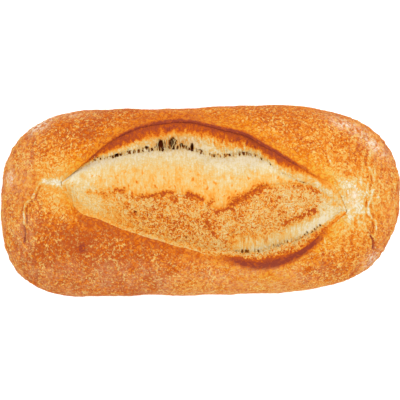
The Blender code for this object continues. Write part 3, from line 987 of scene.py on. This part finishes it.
class Nodes:
    """Short names for making shader nodes in one material. Any input is a number or another node's socket."""

    def __init__(self, name):
        self.material = bpy.data.materials.new(name)
        self.material.use_nodes = True
        self.tree = self.material.node_tree
        self.shader = self.tree.nodes["Principled BSDF"]

    def add(self, kind, inputs, **settings):
        node = self.tree.nodes.new("ShaderNode" + kind)
        for key, value in settings.items():
            setattr(node, key, value)
        for key, value in inputs.items():
            self.put(node.inputs[key], value)
        return node

    def put(self, socket, value):
        if isinstance(value, bpy.types.NodeSocket):
            self.tree.links.new(value, socket)
        else:
            socket.default_value = value

    def math(self, operation, a, b, clamp=False):
        return self.add("Math", {0: a, 1: b}, operation=operation, use_clamp=clamp).outputs[0]

    def times(self, first, *others):
        for other in others:
            first = self.math("MULTIPLY", first, other)
        return first

    def plus(self, total, *parts):
        """The total with parts added, which are given as value, share, value, share."""
        for value, share in zip(parts[::2], parts[1::2]):
            total = self.math("ADD", total, self.times(value, share))
        return total

    def between(self, value, low, high, out_low=0.0, out_high=1.0):
        """Smooth step of the value, from out_low at low to out_high at high."""
        inputs = {"Value": value, "From Min": low, "From Max": high, "To Min": out_low, "To Max": out_high}
        return self.add("MapRange", inputs, interpolation_type="SMOOTHSTEP").outputs["Result"]

    def blend(self, factor, a, b, mode="MIX"):
        return self.add("Mix", {0: factor, 6: a, 7: b}, data_type="RGBA", blend_type=mode).outputs[2]

    def values(self, *names):
        """The pieces' own numbers of these attribute names."""
        return [self.add("Attribute", {}, attribute_name=name).outputs["Fac"] for name in names]

    def places(self, stretch=(1.0, 1.0, 1.0), shift=(0.0, 0.0, 0.0)):
        where = self.add("TexCoord", {}).outputs["Object"]
        return self.add("Mapping", {"Vector": where, "Location": shift, "Scale": stretch}).outputs["Vector"]

    def noise(self, where, size, detail=3.0, roughness=0.55, distortion=0.0):
        inputs = {"Detail": detail, "Roughness": roughness, "Distortion": distortion}
        return self.add("TexNoise", {"Vector": where, "Scale": 1.0 / size, **inputs}).outputs["Fac"]

    def centred(self, texture):
        return self.math("SUBTRACT", texture, 0.5)

    def speckle(self, where):
        """Crisp fine spots from -0.5 to 0.5."""
        return self.between(self.noise(where, SPECKLE_SIZE, 1.0, 0.5, 0.8), 0.38, 0.62, -0.5, 0.5)

    def lines(self, shift, size, width, distortion=0.6):
        """1 on winding lines about the size apart, 0 between them."""
        value = self.noise(self.places(shift=shift), size, 1.0, 0.5, distortion)
        return self.between(self.math("ABSOLUTE", self.centred(value), 0.0), width, 0.25 * width)

    def worms(self, shift, size, width, low, high):
        """1 on short pieces of winding lines; a lower low leaves longer pieces."""
        cut = self.noise(self.places(shift=shift[::-1]), 1.1 * size, 1.0)
        return self.times(self.lines(shift, size, width), self.between(cut, low, high))

    def ramp(self, value, stops, level=1.0):
        node = self.add("ValToRGB", {"Fac": value})
        band = node.color_ramp
        while len(band.elements) < len(stops):
            band.elements.new(0.5)
        for element, (place, color) in zip(band.elements, stops):
            element.position = place
            element.color = from_display(*color, level)
        return node.outputs["Color"]

    def dress(self, color, roughness, specular, height, strength, depth):
        """The finished material, with bump of this strength and depth in metres."""
        bump = self.add("Bump", {"Height": height, "Strength": strength, "Distance": depth}).outputs["Normal"]
        for key, value in (("Base Color", color), ("Roughness", roughness), ("Normal", bump)):
            self.put(self.shader.inputs[key], value)
        self.shader.inputs["Specular IOR Level"].default_value = specular
        return self.material


# how bright a white surface facing up shows, and the browning of bread from white crumb to burnt edge
LIGHT_LEVEL = 1.74
CRUMB_LEVEL = 1.72
SPECKLE_SIZE = 0.0014
FINE_SIZE = 0.0015
BUMP_DEPTH = 0.0011
GOLD_TINT = (1.0, 0.98, 0.5, 1.0)
PALE_FLECK = (255, 213, 122)
FLOUR_COLOR = (250, 203, 148)
DUST_COLOR = (252, 236, 212)
BREAD_COLORS = (
    (0.0, (244, 234, 208)),
    (0.12, (237, 219, 180)),
    (0.2, (232, 203, 142)),
    (0.34, (238, 181, 92)),
    (0.46, (241, 161, 60)),
    (0.58, (236, 137, 36)),
    (0.7, (222, 112, 20)),
    (0.8, (204, 91, 15)),
    (0.89, (184, 82, 36)),
    (1.0, (154, 64, 44)),
)
MOST_BAKE = 0.86  # brownest that textures make the bread where it isn't burnt
# painted shade of the crumb's holes and pits, partly a browner tint: multiplies the crumb's colour by its dark
# value
HOLE_SHADE_COLORS = ((0.0, (255, 255, 255)), (0.35, (228, 182, 118)), (0.7, (160, 95, 40)), (1.0, (104, 46, 12)))
FLOOR_COLORS = ((0.0, (248, 248, 248)), (1.0, (252, 252, 252)))


def crust_material():
    n = Nodes("baked_crust_look")
    where = n.places()
    bake, flour, blister, glow = n.values("bake", "flour", "blister", "glow")
    broad = n.noise(where, 0.01, 3.0, 0.6)
    medium = n.noise(where, 0.004, 3.0, 0.6, 0.6)
    fine = n.noise(where, FINE_SIZE, 2.0, 0.6, 0.6)
    flecks = n.math(
        "MAXIMUM",
        n.worms((0.0, 0.3, 0.7), 0.0032, 0.09, 0.61, 0.63),
        n.worms((1.1, 0.5, 0.2), 0.0021, 0.11, 0.61, 0.63),
    )
    specks = n.worms((2.3, 1.7, 0.9), 0.0015, 0.15, 0.59, 0.61)
    # dark lines are darker in colour and sunk in the bump: partly the crust's colour, partly painted shade in
    # the grooves
    dark_lines = n.lines((3.1, 0.2, 1.3), 0.0034, 0.11)
    pale_lines = n.lines((0.4, 4.2, 2.3), 0.0044, 0.08)
    burnt = n.between(bake, 0.84, 0.92)

    swing = n.times(n.plus(0.06, blister, 0.2), n.between(flour, 0.25, 0.6, 1.0, 0.4))
    swing = n.times(swing, n.between(glow, 0.0, 1.0, 1.0, 0.4))
    tone = n.plus(bake, n.centred(broad), 0.22, n.centred(medium), 0.2, n.centred(fine), 0.34)
    tone = n.plus(tone, n.speckle(where), swing, dark_lines, 0.18, glow, -0.13)
    tone = n.math("MINIMUM", tone, n.plus(MOST_BAKE, burnt, 1.0 - MOST_BAKE), clamp=True)
    base = n.ramp(tone, BREAD_COLORS, LIGHT_LEVEL)
    base = n.blend(n.times(glow, n.between(bake, 0.34, 0.56)), base, GOLD_TINT, "MULTIPLY")
    # pale flecks and specks are raised in the bump: partly pale blister colour, partly painted highlight
    pale = n.times(flecks, n.plus(0.12, blister, 0.7))
    pale = n.math("MAXIMUM", pale, n.times(specks, n.plus(0.12, blister, 0.52)))
    pale = n.math("MAXIMUM", pale, n.times(pale_lines, 0.07))
    pale = n.times(pale, n.plus(1.0, burnt, -1.0), n.between(bake, 0.66, 0.82, 1.0, 0.72))
    base = n.blend(pale, base, from_display(*PALE_FLECK, LIGHT_LEVEL))
    dusty = n.plus(0.15, n.between(fine, 0.38, 0.6), 1.05, pale_lines, 0.4)
    dusty = n.math("MULTIPLY", dusty, flour, clamp=True)
    dust = n.ramp(flour, ((0.25, FLOUR_COLOR), (0.8, DUST_COLOR)), LIGHT_LEVEL)
    height = n.plus(n.times(flecks, 0.4), specks, 0.2, medium, 0.75, fine, 0.3, dark_lines, -0.25)
    rough = n.plus(0.58, medium, 0.2, dusty, 0.25)
    return n.dress(n.blend(dusty, base, dust), rough, 0.025, height, 0.6, BUMP_DEPTH)


def crumb_material():
    n = Nodes("torn_crumb_look")
    where = n.places()
    bake, dark, toast = n.values("bake", "dark", "toast")
    fibre = n.noise(n.places((1.0, 0.22, 0.22)), 0.0012, 2.0, 0.6, 0.4)
    medium = n.noise(where, 0.0036, 3.0, 0.6, 0.8)
    fine = n.noise(where, FINE_SIZE, 2.0, 0.6, 0.6)
    # pale curls are raised and lighter, dark curls sunk and darker: partly the crumb's colour, partly painted
    # light and shade
    pale_curls = n.times(n.lines((0.7, 1.9, 0.1), 0.003, 0.08, 1.0), toast)
    dark_curls = n.times(n.lines((5.3, 0.4, 2.2), 0.003, 0.075, 1.0), toast)
    # pores: painted shade in small holes that have no relief
    pores = n.times(n.worms((2.6, 3.3, 0.6), 0.002, 0.11, 0.62, 0.66), n.between(toast, 0.6, 0.9))

    tone = n.plus(bake, n.centred(fibre), 0.34, n.centred(medium), n.plus(0.18, toast, 0.18))
    tone = n.plus(tone, n.centred(fine), n.plus(0.24, toast, 0.2))
    tone = n.plus(tone, n.speckle(where), n.plus(0.06, toast, 0.09), dark_curls, 0.35)
    curl = n.times(pale_curls, n.between(bake, 0.88, 0.7, 0.18, 1.0), 0.95)
    tone = n.plus(tone, curl, n.math("SUBTRACT", 0.26, tone))
    tone = n.math("MAXIMUM", tone, n.plus(0.09, toast, 0.08))
    most = n.math("MAXIMUM", MOST_BAKE, n.plus(bake, 0.04, 1.0))
    tone = n.math("MINIMUM", n.plus(tone, pores, 0.38), most, clamp=True)
    # the dark value multiplies in the painted shade of the holes and pits
    base = n.blend(1.0, n.ramp(tone, BREAD_COLORS, CRUMB_LEVEL), n.ramp(dark, HOLE_SHADE_COLORS), "MULTIPLY")
    height = n.plus(n.times(fibre, 0.45), medium, n.plus(0.25, toast, 0.5), fine, 0.25)
    height = n.plus(height, pale_curls, 0.35, dark_curls, -0.25)
    return n.dress(base, n.plus(0.62, medium, 0.2), 0.03, height, 0.55, BUMP_DEPTH)


def strand_material():
    n = Nodes("gluten_look")
    where = n.places()
    base = n.ramp(n.plus(0.04, n.noise(where, 0.004, 2.0), 0.36), BREAD_COLORS, LIGHT_LEVEL)
    return n.dress(base, 0.5, 0.1, n.noise(where, 0.0006, 2.0), 0.3, 0.0002)


# ---- stage, light and camera
FRAME_WIDTH = 0.2814
FOCAL_LENGTH = 600.0
SENSOR = 36.0
CLIP_END = 20.0
WORLD_LEVEL = 1.4
SOFTBOX_WATTS = 8.0
SOFTBOX_SIZE = 0.9
SOFTBOX_PLACE = (0.12, 0.2, 1.1)
SOFTBOX_AIM = (0.0, 0.0, 0.03)
FLOOR_HALF = 1.6
FLOOR_GLOW = 0.25
WHITE = (1.0, 1.0, 1.0, 1.0)


def make_stage():
    n = Nodes("pale_floor")
    inputs = n.shader.inputs
    n.put(inputs["Base Color"], n.ramp(n.noise(n.places(), 0.05, 2.0), FLOOR_COLORS))
    inputs["Roughness"].default_value = 0.9
    inputs["Emission Color"].default_value = WHITE
    inputs["Emission Strength"].default_value = FLOOR_GLOW
    data = bpy.data.meshes.new("floor")
    corners = [(x * FLOOR_HALF, y * FLOOR_HALF, 0) for x, y in ((-1, -1), (1, -1), (1, 1), (-1, 1))]
    data.from_pydata(corners, [], [(0, 1, 2, 3)])
    data.materials.append(n.material)
    add_object("floor", data)


def make_light():
    world = bpy.data.worlds.new("studio")
    bpy.context.scene.world = world
    world.use_nodes = True
    background = world.node_tree.nodes["Background"]
    background.inputs["Color"].default_value = WHITE
    background.inputs["Strength"].default_value = WORLD_LEVEL
    light = bpy.data.lights.new("softbox", "AREA")
    light.shape = "SQUARE"
    light.size = SOFTBOX_SIZE
    light.energy = SOFTBOX_WATTS
    softbox = add_object("softbox", light)
    softbox.location = SOFTBOX_PLACE
    aim = Vector(SOFTBOX_AIM) - softbox.location
    softbox.rotation_euler = aim.to_track_quat("-Z", "Y").to_euler()


def make_camera():
    data = bpy.data.cameras.new("camera")
    data.lens = FOCAL_LENGTH
    data.sensor_width = SENSOR
    data.clip_end = CLIP_END
    camera = add_object("camera", data)
    camera.location = (CENTRE[0], CENTRE[1], WIDEST_LEVEL + FRAME_WIDTH * FOCAL_LENGTH / SENSOR)
    bpy.context.scene.camera = camera
    bpy.context.scene.view_settings.view_transform = "Standard"


def main():
    make_camera()
    make_stage()
    make_light()
    crust = build_crust(crust_material())
    torn, surface = build_torn(crumb_material())
    strands = build_strands(surface, strand_material())
    for piece in (crust, torn, strands):
        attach(piece, "root")
        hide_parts("batard_loaf")


main()
